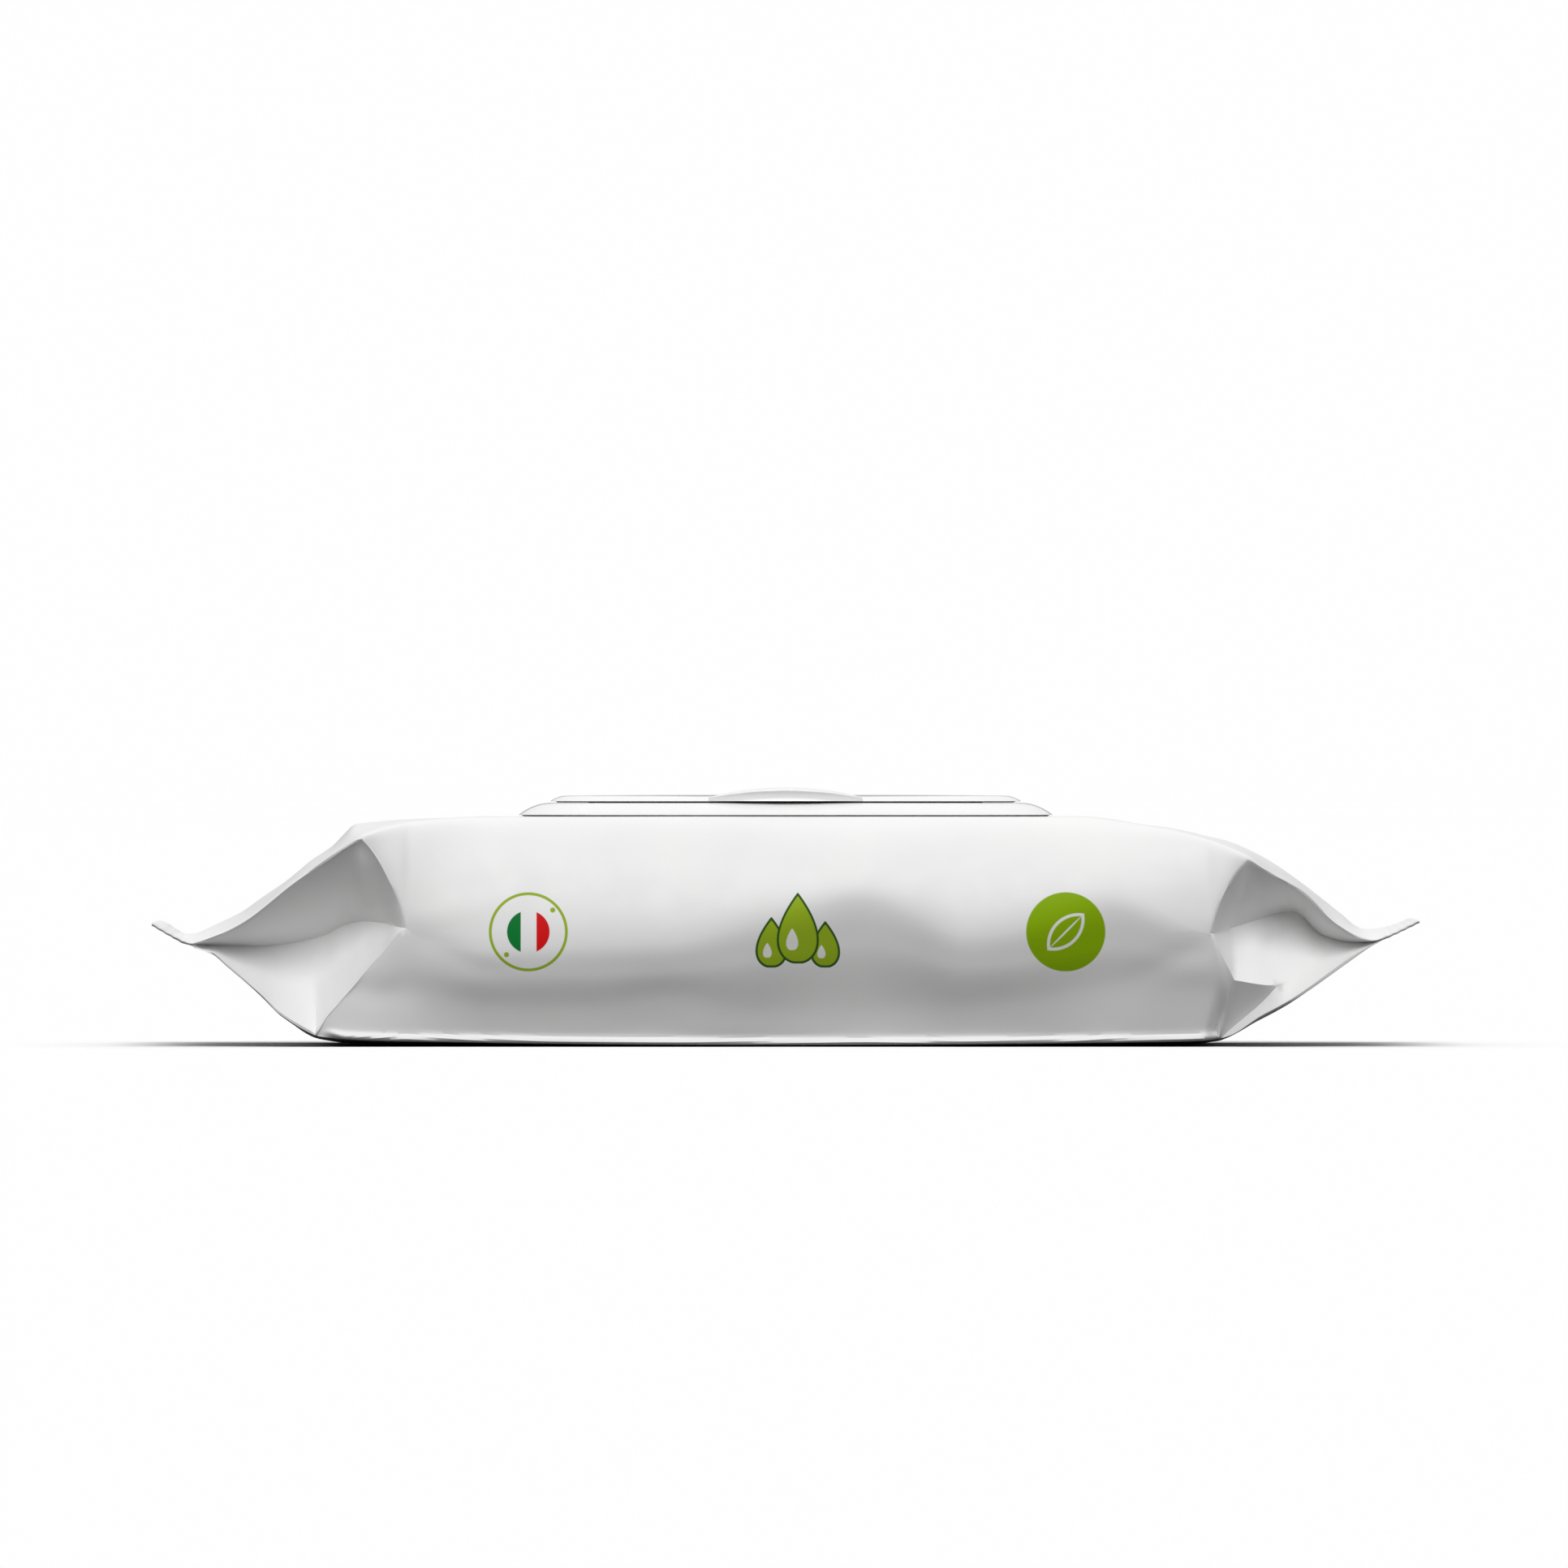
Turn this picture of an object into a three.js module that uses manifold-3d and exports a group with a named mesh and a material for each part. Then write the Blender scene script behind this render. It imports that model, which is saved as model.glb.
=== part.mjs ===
// A wet wipes pack: a film wrap with tucked ends, the folded wipes in it, and a flip-top lid bonded on it.
// Millimetres, +Z up. The origin is on the floor under the middle of the pack.
// X runs along the pack. The lid opens from the -Y side, and its hinge is on the +Y side.
import * as THREE from "three";
import { mergeVertices } from "three/addons/utils/BufferGeometryUtils.js";
import Module from "manifold-3d";

// Film wrap
const bodyLength = 178; // between the two end planes, from which the end folds are measured
const bodyWidth = 113; // across the bulge of the two sides
const bodyHeight = 45.4; // floor to the flat top under the lid
const sideBulge = 5; // how far each side stands out past the end seals
const baseInset = 8; // from the bulge in to the edge of the flat underside
const filmWall = 0.8; // the real film is about a tenth of this
const sealThickness = 0.8;
const foldLip = 0.5; // height of the rounded edge of a folded film panel
const tuckDepth = 18; // how far each end tuck reaches in from the side at the seal
const tuckMouthDepth = 14.4; // the same at the fold's corner
const tuckBulge = 1.7; // side bulge left at a tuck's corner
const tuckRootRun = 1.4; // length over which a tuck closes at the seal
const sealRoom = 5.6; // from a seal in to the end of the space inside the film
const topCrown = 1.6; // how much the top panel arches between its edges at the end folds
const crownShare = 0.75; // share of that arch left halfway out to an edge
const topFlatEndMargin = 4; // flat film left outside the lid frame
const topFlatSideMargin = 1;

// The two ends are folded a little differently.
// Runs are measured outward along X from the end plane, heights from the middle of the body's height.
const leftEnd = {
  side: -1,
  shoulderDrop: 1,
  topCornerRun: -5.5,
  topCornerDrop: 4,
  bottomCornerRun: 3.8,
  bottomLift: 1.8,
  tuckRun: -13.6,
  tuckRise: 1.3,
  sealRun: 27.5,
  sealRise: -2.6,
  tipRun: 36,
  tipRise: 1.8,
};
const rightEnd = {
  side: 1,
  shoulderDrop: 4.2,
  topCornerRun: 2,
  topCornerDrop: 8.8,
  bottomCornerRun: -3.1,
  bottomLift: 1.2,
  tuckRun: -5.5,
  tuckRise: -0.6,
  sealRun: 28,
  sealRise: -1.4,
  tipRun: 36,
  tipRise: 2,
};

// Wipes
const stackSideRoom = 9; // from the bulge of the film to the side of the stack
const stackEndRoom = 1.6; // from a tuck's corner to the end of the stack
const stackHeadRoom = 0.6; // from the stack up to the inside of the film, where the film is lowest over it
const stackRounding = 2;
const seatGap = 0.3;

// Lid frame, bonded to the film
const frameLength = 106;
const frameWidth = 76;
const frameCorner = 20;
const frameRise = 2.4;
const frameSlopeRun = 6.25; // plan width of the sloping outer edge
const frameLand = 3; // flat ledge that the lid's edge closes on
const deckThickness = 1;
const deckEndMargin = 7; // from the ledge in to the dispensing opening
const deckSideMargin = 9.75;
const openingCorner = 12;
const rimWall = 1; // upright rim around the opening
const rimDrop = 0.2; // rim top below the ledge
const filmLip = 4; // film left showing inside the opening
const bondThickness = 0.3;
const bondInset = 2.5;
const bondWidth = 7;

// Lid
const partingGap = 0.3;
const lidThickness = 1.1;
const lidEdgeRun = 3.2;
const plugGap = 0.4;
const plugWall = 1;
const lipLength = 30.4; // thumb lip, along X
const lipRise = 1.6;
const lipReach = 3;
const lipRoot = 8; // how far the lip's root runs back over the lid
const lipEdge = 0.8; // thickness of the lip's free edge
const lipEndSwell = 0.03; // share of the lip's size left at its two ends
const lipSweep = 0.35; // share of the lip's rise reached halfway along its root

// Living hinge
const webEndMargin = 3; // from the lid's corner rounding to the end of the web
const webThickness = 0.35;
const webInnerRadius = 0.4;
const webOffset = 0.5; // hinge axis behind the lid's rear edge
const webClearance = 0.3;
const grooveEndRoom = 0.6; // from each end of the web to the end of its groove
const grooveLead = 0.6; // how far the groove runs in under the lid's rear edge

const cornerSteps = 3;
const edgeSteps = 4;
const rollSteps = 4;
const lipStations = 10;

// Sizes that follow from the ones above
const midHeight = bodyHeight / 2;
const endHalf = bodyWidth / 2 - sideBulge;
const flatHalfLength = frameLength / 2 + topFlatEndMargin;
const flatHalfWidth = frameWidth / 2 + topFlatSideMargin;
const bondTop = bodyHeight + bondThickness;
const frameTop = bondTop + frameRise;
const deckTop = bondTop + deckThickness;
const lidLength = frameLength - 2 * frameSlopeRun;
const lidWidth = frameWidth - 2 * frameSlopeRun;
const lidCorner = frameCorner - frameSlopeRun;
const lidBottom = frameTop + partingGap;
const lidTop = lidBottom + lidThickness;
const openingLength = lidLength - 2 * (frameLand + deckEndMargin);
const openingWidth = lidWidth - 2 * (frameLand + deckSideMargin);
const webLength = lidLength - 2 * (lidCorner + webEndMargin);
const webOuterRadius = webInnerRadius + webThickness;
const hingeY = lidWidth / 2 + webOffset;
const hingeZ = (frameTop + lidBottom) / 2;

const endX = (end, run) => end.side * (bodyLength / 2 + run);
const tuckHeight = (end) => midHeight + end.tuckRise;
const sealHeight = (end) => midHeight + end.sealRise;
const tipHeight = (end) => midHeight + end.tipRise;

const wasm = await Module();
wasm.setup();
const { Manifold, Mesh: ManifoldMesh } = wasm;

function solidOf(geometry) {
  const bare = geometry.clone();
  bare.deleteAttribute("normal");
  bare.deleteAttribute("uv");
  const welded = mergeVertices(bare, 1e-4);
  return new Manifold(
    new ManifoldMesh({
      numProp: 3,
      vertProperties: Float32Array.from(welded.getAttribute("position").array),
      triVerts: Uint32Array.from(welded.index.array),
    }),
  );
}

function geometryOf(solid) {
  const made = solid.getMesh();
  const geometry = new THREE.BufferGeometry();
  geometry.setAttribute("position", new THREE.BufferAttribute(made.vertProperties, 3));
  geometry.setIndex(new THREE.BufferAttribute(made.triVerts, 1));
  geometry.computeVertexNormals();
  return geometry;
}

// A closed solid through flat outlines of equal point count, each counter-clockwise seen from its far end.
function loft(outlines, place) {
  const count = outlines[0].length;
  const last = (outlines.length - 1) * count;
  const points = outlines.flatMap((outline, at) => outline.map((p) => place(p, at)));
  const faces = [];
  for (let row = 0; row < last; row += count) {
    for (let k = 0; k < count; k++) {
      const a = row + k;
      const b = row + ((k + 1) % count);
      faces.push(a, b, b + count, a, b + count, a + count);
    }
  }
  const cap = (outline, base, outward) => {
    for (const [i, j, k] of THREE.ShapeUtils.triangulateShape(outline, [])) {
      const turned = THREE.ShapeUtils.area([outline[i], outline[j], outline[k]]) < 0 === outward;
      faces.push(base + i, base + (turned ? k : j), base + (turned ? j : k));
    }
  };
  cap(outlines[0], 0, false);
  cap(outlines.at(-1), last, true);
  const geometry = new THREE.BufferGeometry().setFromPoints(points);
  geometry.setIndex(faces);
  return geometry;
}

function roundedRect(length, width, corner) {
  const x = length / 2 - corner;
  const y = width / 2 - corner;
  const shape = new THREE.Shape();
  shape.absarc(x, -y, corner, -Math.PI / 2, 0);
  shape.absarc(x, y, corner, 0, Math.PI / 2);
  shape.absarc(-x, y, corner, Math.PI / 2, Math.PI);
  shape.absarc(-x, -y, corner, Math.PI, Math.PI * 1.5);
  return shape;
}

function upright(shape, bottom, top) {
  const geometry = new THREE.ExtrudeGeometry(shape, {
    depth: top - bottom,
    bevelEnabled: false,
    curveSegments: cornerSteps,
  });
  return geometry.translate(0, 0, bottom);
}

function ring(length, width, corner, wall) {
  const shape = roundedRect(length + 2 * wall, width + 2 * wall, corner + wall);
  shape.holes.push(roundedRect(length, width, corner));
  return shape;
}

// A rounded rectangular plate whose outer edge is a quarter ellipse, vertical at the bottom.
function domedPlate(length, width, corner, run, bottom, rise) {
  const heights = [];
  const outlines = [];
  for (let k = 0; k <= edgeSteps; k++) {
    const turn = ((k / edgeSteps) * Math.PI) / 2;
    const inset = run * (1 - Math.cos(turn));
    heights.push(bottom + rise * Math.sin(turn));
    outlines.push(roundedRect(length - 2 * inset, width - 2 * inset, corner - inset).getPoints(cornerSteps));
  }
  return loft(outlines, (p, at) => new THREE.Vector3(p.x, p.y, heights[at]));
}

// A value along X, straight between keys that each end gives, with the body's own value in the middle.
function along(endKeys, middle) {
  const keys = [leftEnd, rightEnd].flatMap((end) =>
    endKeys(end).map(([run, value]) => [endX(end, run), value]),
  );
  keys.push([-flatHalfLength, middle], [flatHalfLength, middle]);
  keys.sort((a, b) => a[0] - b[0]);
  return (x) => {
    const next = keys.findIndex(([at]) => at >= x);
    if (next === 0) return keys[0][1];
    if (next < 0) return keys.at(-1)[1];
    const [from, to] = [keys[next - 1], keys[next]];
    return THREE.MathUtils.mapLinear(x, from[0], to[0], from[1], to[1]);
  };
}

const topEdge = along(
  (end) => [
    [end.tipRun, tipHeight(end) + sealThickness / 2],
    [end.sealRun, sealHeight(end) + sealThickness / 2],
    [end.topCornerRun, bodyHeight - end.topCornerDrop],
    [end.tuckRun, bodyHeight - end.shoulderDrop],
  ],
  bodyHeight,
);
const crownRise = along(
  (end) => [
    [end.sealRun, 0],
    [end.topCornerRun, topCrown],
  ],
  0,
);
const bottomEdge = along(
  (end) => [
    [end.tipRun, tipHeight(end) - sealThickness / 2],
    [end.sealRun, sealHeight(end) - sealThickness / 2],
    [end.bottomCornerRun, end.bottomLift],
    [end.tuckRun, 0],
  ],
  0,
);
const sideHalf = along(
  (end) => [
    [end.sealRun, endHalf],
    [end.topCornerRun, endHalf],
    [end.tuckRun, endHalf + tuckBulge],
  ],
  bodyWidth / 2,
);
const topFlat = along(
  (end) => [
    [end.sealRun, endHalf - foldLip],
    [end.topCornerRun, endHalf - foldLip],
  ],
  flatHalfWidth,
);
const baseFlat = along(
  (end) => [
    [end.sealRun, endHalf - foldLip],
    [end.bottomCornerRun, endHalf - foldLip],
  ],
  bodyWidth / 2 - baseInset,
);
// Half the distance between the inner creases of the two tucks.
const tuckHalf = along(
  (end) => [
    [end.tipRun, endHalf],
    [end.sealRun, endHalf],
    [end.sealRun - tuckRootRun, endHalf - tuckDepth],
    [Math.min(end.topCornerRun, end.bottomCornerRun), endHalf - tuckMouthDepth],
    [end.tuckRun, endHalf + tuckBulge],
  ],
  bodyWidth / 2,
);
const tuckLine = along(
  (end) => [
    [end.tipRun, tipHeight(end)],
    [end.sealRun, sealHeight(end)],
    [end.tuckRun, tuckHeight(end)],
  ],
  midHeight,
);
// How far a tuck gapes from its inner crease: 0 is shut at the tuck's corner, 1 is open to the panel's edge.
const gapeShare = (cornerRun) =>
  along(
    (end) => [
      [end.sealRun, 1],
      [cornerRun(end), 1],
      [end.tuckRun, 0],
    ],
    0,
  );
const upperGape = gapeShare((end) => end.topCornerRun);
const lowerGape = gapeShare((end) => end.bottomCornerRun);

// A quarter ellipse in (half width, height), from an edge that lies flat to a side that stands upright.
function rollOver(flat, edge, side, stand) {
  const points = [];
  for (let k = 0; k <= rollSteps; k++) {
    const turn = ((k / rollSteps) * Math.PI) / 2;
    const across = flat + (side - flat) * Math.sin(turn);
    points.push(new THREE.Vector2(across, stand + (edge - stand) * Math.cos(turn)));
  }
  return points;
}

// A whole section from its +Y half, which runs from the top down. It starts at the top and goes round by -Y.
function mirrored(half) {
  const front = half.map((p) => new THREE.Vector2(-p.x, p.y));
  const back = half.filter((p) => p.x > 0).reverse();
  return front.concat(back);
}

// One cross-section of the outer film at x, in (y, z).
function filmSection(x) {
  const top = topEdge(x);
  const bottom = bottomEdge(x);
  const crown = top + crownRise(x);
  const crease = tuckLine(x);
  const lip = Math.min(foldLip, (top - bottom) / 4);
  const upper = Math.max(crease + lip / 2, THREE.MathUtils.lerp(crease, top - lip, upperGape(x)));
  const lower = Math.min(crease - lip / 2, THREE.MathUtils.lerp(crease, bottom + lip, lowerGape(x)));
  const flat = topFlat(x);
  return mirrored([
    new THREE.Vector2(0, crown),
    new THREE.Vector2(flat / 2, THREE.MathUtils.lerp(top, crown, crownShare)),
    ...rollOver(flat, top, sideHalf(x), upper),
    new THREE.Vector2(tuckHalf(x), crease),
    ...rollOver(baseFlat(x), bottom, sideHalf(x), lower).reverse(),
    new THREE.Vector2(0, bottom),
  ]);
}

// Half a cross-section of the space inside the film at x. In the end folds it stays between the tucks.
function spaceHalf(x) {
  const top = topEdge(x) - filmWall;
  const bottom = bottomEdge(x) + filmWall;
  const middle = (top + bottom) / 2;
  const side = Math.min(sideHalf(x), tuckHalf(x)) - filmWall;
  const flat = Math.min(topFlat(x), side - filmWall);
  const base = Math.min(baseFlat(x), side - filmWall) - filmWall;
  const upper = rollOver(flat, top, side, middle);
  const lower = rollOver(base, bottom, side, middle).reverse();
  return [...upper, ...lower.slice(1)];
}

// Height of the space's rounded shoulder at x, at a distance across from the middle plane.
function shoulderHeight(x, across) {
  const half = spaceHalf(x);
  const next = Math.max(
    1,
    half.findIndex((p) => p.x >= across),
  );
  const [from, to] = [half[next - 1], half[next]];
  return THREE.MathUtils.mapLinear(across, from.x, to.x, from.y, to.y);
}

function loftAlongX(endRuns, section) {
  const ends = [leftEnd, rightEnd].flatMap((end) => endRuns(end).map((run) => endX(end, run)));
  const stations = [...ends, -flatHalfLength, 0, flatHalfLength].sort((a, b) => a - b);
  return loft(stations.map(section), (p, at) => new THREE.Vector3(stations[at], p.x, p.y));
}

function filmWrapper() {
  const outer = loftAlongX(
    (end) => [
      end.tipRun,
      end.sealRun,
      end.sealRun - tuckRootRun,
      (end.sealRun + end.bottomCornerRun) / 2,
      end.bottomCornerRun,
      end.topCornerRun,
      (end.topCornerRun + end.tuckRun) / 2,
      end.tuckRun,
    ],
    filmSection,
  );
  const space = loftAlongX(
    (end) => [end.sealRun - sealRoom, end.bottomCornerRun, end.topCornerRun, end.tuckRun],
    (x) => mirrored(spaceHalf(x)),
  );
  const hole = upright(
    roundedRect(openingLength - 2 * filmLip, openingWidth - 2 * filmLip, openingCorner - filmLip),
    bodyHeight - 2 * filmWall,
    bodyHeight + filmWall,
  );
  return solidOf(outer).subtract(solidOf(space)).subtract(solidOf(hole));
}

function wipesStack() {
  const from = endX(leftEnd, leftEnd.tuckRun) + stackEndRoom;
  const to = endX(rightEnd, rightEnd.tuckRun) - stackEndRoom;
  const bottom = filmWall + seatGap;
  const width = bodyWidth - 2 * stackSideRoom;
  const drop = Math.max(leftEnd.shoulderDrop, rightEnd.shoulderDrop);
  const top = Math.min(bodyHeight - drop - filmWall, shoulderHeight(0, width / 2)) - stackHeadRoom;
  const outline = roundedRect(to - from - 2 * stackRounding, width - 2 * stackRounding, stackRounding);
  const block = new THREE.ExtrudeGeometry(outline, {
    depth: top - bottom - 2 * stackRounding,
    bevelSize: stackRounding,
    bevelThickness: stackRounding,
    bevelSegments: 2,
    curveSegments: 2,
  });
  return solidOf(block.translate((from + to) / 2, 0, bottom + stackRounding));
}

function adhesiveRing() {
  const inset = 2 * (bondInset + bondWidth);
  const shape = ring(frameLength - inset, frameWidth - inset, frameCorner - inset / 2, bondWidth);
  return solidOf(upright(shape, bodyHeight, bondTop));
}

function lidFrame() {
  const dome = domedPlate(frameLength, frameWidth, frameCorner, frameSlopeRun, bondTop, frameRise);
  const recess = roundedRect(lidLength - 2 * frameLand, lidWidth - 2 * frameLand, lidCorner - frameLand);
  const rim = ring(openingLength, openingWidth, openingCorner, rimWall);
  const opening = roundedRect(openingLength, openingWidth, openingCorner);
  const grooveWidth = 2 * (webOuterRadius + webClearance);
  const groove = new THREE.BoxGeometry(webLength + 2 * grooveEndRoom, grooveWidth, grooveWidth);
  groove.translate(0, lidWidth / 2 - grooveLead + grooveWidth / 2, hingeZ);
  return solidOf(dome)
    .subtract(solidOf(upright(recess, deckTop, lidTop)))
    .add(solidOf(upright(rim, bondTop, frameTop - rimDrop)))
    .subtract(solidOf(upright(opening, bodyHeight, lidTop)))
    .subtract(solidOf(groove));
}

// The thumb lip, as sections across Y and Z that swell toward the middle of its length.
function thumbLip() {
  const stations = [];
  const outlines = [];
  const edge = -lidWidth / 2;
  const rootTop = lidTop - lidThickness / 4;
  const rootBottom = lidBottom + lidThickness / 4;
  for (let k = 0; k <= lipStations; k++) {
    const place = (2 * k) / lipStations - 1;
    const swell = Math.max(lipEndSwell, 1 - place * place);
    const front = edge - lipReach * swell;
    const crest = THREE.MathUtils.lerp(rootTop, lidTop + lipRise, swell);
    stations.push((place * lipLength) / 2);
    outlines.push([
      new THREE.Vector2(edge + lipRoot, rootTop),
      new THREE.Vector2(edge + lipRoot / 2, THREE.MathUtils.lerp(rootTop, crest, lipSweep)),
      new THREE.Vector2(front + lipEdge, crest),
      new THREE.Vector2(front, crest - lipEdge / 2),
      new THREE.Vector2(front + lipEdge / 2, crest - lipEdge),
      new THREE.Vector2(edge + lipEdge / 4, (lidBottom + lidTop) / 2),
      new THREE.Vector2(edge + lipEdge, rootBottom),
      new THREE.Vector2(edge + lipRoot, rootBottom),
    ]);
  }
  return loft(outlines, (p, at) => new THREE.Vector3(stations[at], p.x, p.y));
}

function flipLid() {
  const plate = domedPlate(lidLength, lidWidth, lidCorner, lidEdgeRun, lidBottom, lidThickness);
  const reach = rimWall + plugGap;
  const plug = ring(openingLength + 2 * reach, openingWidth + 2 * reach, openingCorner + reach, plugWall);
  return solidOf(plate)
    .add(solidOf(upright(plug, deckTop + plugGap, lidBottom + lidThickness / 2)))
    .add(solidOf(thumbLip()));
}

// The web is a C in section, open toward the lid. Its legs reach the frame below and the lid above.
function livingHinge() {
  const lowerLeg = lidWidth / 2 - webClearance - hingeY;
  const climb = (hingeZ + webInnerRadius - lidBottom) / lidThickness;
  const lidRear = lidWidth / 2 - lidEdgeRun * (1 - Math.sqrt(1 - climb * climb));
  const upperLeg = lidRear + webClearance - hingeY;
  const shape = new THREE.Shape();
  shape.moveTo(lowerLeg, -webOuterRadius);
  shape.absarc(0, 0, webOuterRadius, -Math.PI / 2, Math.PI / 2, false);
  shape.lineTo(upperLeg, webOuterRadius);
  shape.lineTo(upperLeg, webInnerRadius);
  shape.absarc(0, 0, webInnerRadius, Math.PI / 2, -Math.PI / 2, true);
  shape.lineTo(lowerLeg, -webInnerRadius);
  shape.closePath();
  const strip = new THREE.ExtrudeGeometry(shape, { depth: webLength, bevelEnabled: false, curveSegments: 4 });
  strip.translate(0, 0, -webLength / 2);
  const across = new THREE.Vector3(0, 1, 0);
  const up = new THREE.Vector3(0, 0, 1);
  strip.applyMatrix4(new THREE.Matrix4().makeBasis(across, up, new THREE.Vector3(1, 0, 0)));
  return solidOf(strip.translate(0, hingeY, hingeZ));
}

const material = (color, roughness) => new THREE.MeshStandardMaterial({ color, roughness, metalness: 0 });

function piece(name, solid, look) {
  const mesh = new THREE.Mesh(geometryOf(solid), look);
  mesh.name = name;
  return mesh;
}

const flipTop = new THREE.Group();
flipTop.name = "flip_top";
flipTop.add(
  piece("adhesive_ring", adhesiveRing(), material(0xe6e1cf, 0.5)),
  piece("lid_frame", lidFrame(), material(0xf4f4f2, 0.35)),
  piece("living_hinge", livingHinge(), material(0xf4f4f2, 0.4)),
  piece("flip_lid", flipLid(), material(0xf4f4f2, 0.3)),
);

const pack = new THREE.Group();
pack.name = "wet_wipes_pack";
pack.add(
  piece("film_wrapper", filmWrapper(), material(0xf2f2f0, 0.4)),
  piece("wipes_stack", wipesStack(), material(0xf6f5f0, 0.95)),
  flipTop,
);

export default pack;
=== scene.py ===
import math

import bmesh
import bpy
import numpy as np
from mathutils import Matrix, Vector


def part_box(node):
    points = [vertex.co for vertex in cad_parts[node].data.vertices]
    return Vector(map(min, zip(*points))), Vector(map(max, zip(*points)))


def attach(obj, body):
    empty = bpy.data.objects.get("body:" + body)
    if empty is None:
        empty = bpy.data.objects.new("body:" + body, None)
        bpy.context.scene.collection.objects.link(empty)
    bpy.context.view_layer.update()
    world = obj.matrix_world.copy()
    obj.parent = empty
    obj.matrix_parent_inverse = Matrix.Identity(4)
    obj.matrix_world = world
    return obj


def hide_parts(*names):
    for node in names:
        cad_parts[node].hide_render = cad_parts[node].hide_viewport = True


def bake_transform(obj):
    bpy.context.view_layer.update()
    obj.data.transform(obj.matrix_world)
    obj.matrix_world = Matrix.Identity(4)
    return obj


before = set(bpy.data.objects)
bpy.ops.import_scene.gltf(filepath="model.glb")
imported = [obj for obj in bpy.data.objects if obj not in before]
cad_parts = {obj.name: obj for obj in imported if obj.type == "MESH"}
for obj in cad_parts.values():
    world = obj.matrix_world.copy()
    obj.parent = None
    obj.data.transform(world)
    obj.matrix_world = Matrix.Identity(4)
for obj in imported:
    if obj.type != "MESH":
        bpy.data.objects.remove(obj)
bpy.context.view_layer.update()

# The looks of the wet wipes pack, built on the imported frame.
# Lengths are in millimetres until a mesh is made, and X, Y and Z are the frame's own axes.
MM = 0.001
weld = 0.001  # mm, points nearer than this are one point
sharp_angle = 40  # degrees, from which an edge counts as sharp


def node_box(name):
    """Lowest and highest corner of a CAD node, in mm."""
    low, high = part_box(name)
    return np.array(low) / MM, np.array(high) / MM


film_low, film_high = node_box("film_wrapper")
stack_low, stack_high = node_box("wipes_stack")
bond_low, bond_high = node_box("adhesive_ring")
frame_low, frame_high = node_box("lid_frame")
web_low, web_high = node_box("living_hinge")
lid_low, lid_high = node_box("flip_lid")


# Curves and meshes

def curve(*keys):
    """A smooth curve through (place, value) keys that doesn't overshoot between them."""
    at, value = np.array(keys, dtype=float).T
    gap = np.diff(at)
    slope = np.diff(value) / gap
    tangent = np.zeros_like(value)
    tangent[0], tangent[-1] = slope[0], slope[-1]
    for k in range(1, len(at) - 1):
        if slope[k - 1] * slope[k] > 0:
            before, after = 2 * gap[k] + gap[k - 1], gap[k] + 2 * gap[k - 1]
            tangent[k] = (before + after) / (before / slope[k - 1] + after / slope[k])

    def evaluate(x):
        x = np.clip(x, at[0], at[-1])
        k = np.clip(np.searchsorted(at, x) - 1, 0, len(gap) - 1)
        t = (x - at[k]) / gap[k]
        start = value[k] * (1 + 2 * t) * (1 - t) ** 2 + gap[k] * tangent[k] * t * (1 - t) ** 2
        end = value[k + 1] * t * t * (3 - 2 * t) + gap[k] * tangent[k + 1] * t * t * (t - 1)
        return start + end

    return evaluate


def smooth_step(x, low, high):
    """From 0 at low to 1 at high, level at both."""
    t = np.clip((x - low) / (high - low), 0, 1)
    return t * t * (3 - 2 * t)


def bezier(corners, steps):
    """Points along a cubic curve with four control points."""
    t = np.linspace(0, 1, steps + 1)[:, None]
    a, b, c, d = (np.array(p, dtype=float) for p in corners)
    return a * (1 - t) ** 3 + 3 * b * t * (1 - t) ** 2 + 3 * c * t * t * (1 - t) + d * t ** 3


def resample(points, shares):
    """Points at the given shares of a polyline's length."""
    run = np.concatenate([[0], np.cumsum(np.linalg.norm(np.diff(points, axis=0), axis=1))])
    return np.stack([np.interp(shares * run[-1], run, points[:, k]) for k in range(2)], axis=1)


def slice_at(x, loop):
    """A loop of (y, z) points, set at x."""
    return np.concatenate([np.full((len(loop), 1), x), loop], axis=1)


def ring_faces(rows, count, around, first=0):
    """Quads between rows of points that close on themselves. With around, the last row meets the first."""
    faces = []
    for i in range(rows if around else rows - 1):
        a, b = first + i * count, first + (i + 1) % rows * count
        for j in range(count):
            k = (j + 1) % count
            faces.append((a + j, a + k, b + k, b + j))
    return faces


def make_mesh(name, rings, around=False):
    """A closed mesh through rings of points in mm. Without around, its two ends are capped."""
    count = len(rings[0])
    faces = ring_faces(len(rings), count, around)
    if not around:
        faces.append(tuple(range(count)))
        faces.append(tuple(range((len(rings) - 1) * count, len(rings) * count)))
    mesh = bpy.data.meshes.new(name)
    mesh.from_pydata((np.concatenate(rings) * MM).tolist(), [], faces)
    made = bmesh.new()
    made.from_mesh(mesh)
    bmesh.ops.remove_doubles(made, verts=made.verts, dist=weld * MM)
    bmesh.ops.recalc_face_normals(made, faces=made.faces)
    made.to_mesh(mesh)
    made.free()
    piece = bpy.data.objects.new(name, mesh)
    bpy.context.collection.objects.link(piece)
    return piece


def modify(piece, kind, **settings):
    """Adds a modifier, and puts its result into the piece's mesh."""
    modifier = piece.modifiers.new(kind.lower(), kind)
    for key, value in settings.items():
        setattr(modifier, key, value)
    shown = piece.evaluated_get(bpy.context.evaluated_depsgraph_get())
    mesh = bpy.data.meshes.new_from_object(shown)
    piece.modifiers.clear()
    piece.data = mesh


def combine(piece, other, operation):
    """Adds another piece to a piece, or cuts it away, and removes the other."""
    modify(piece, "BOOLEAN", object=other, operation=operation, solver="EXACT")
    bpy.data.objects.remove(other)


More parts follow.
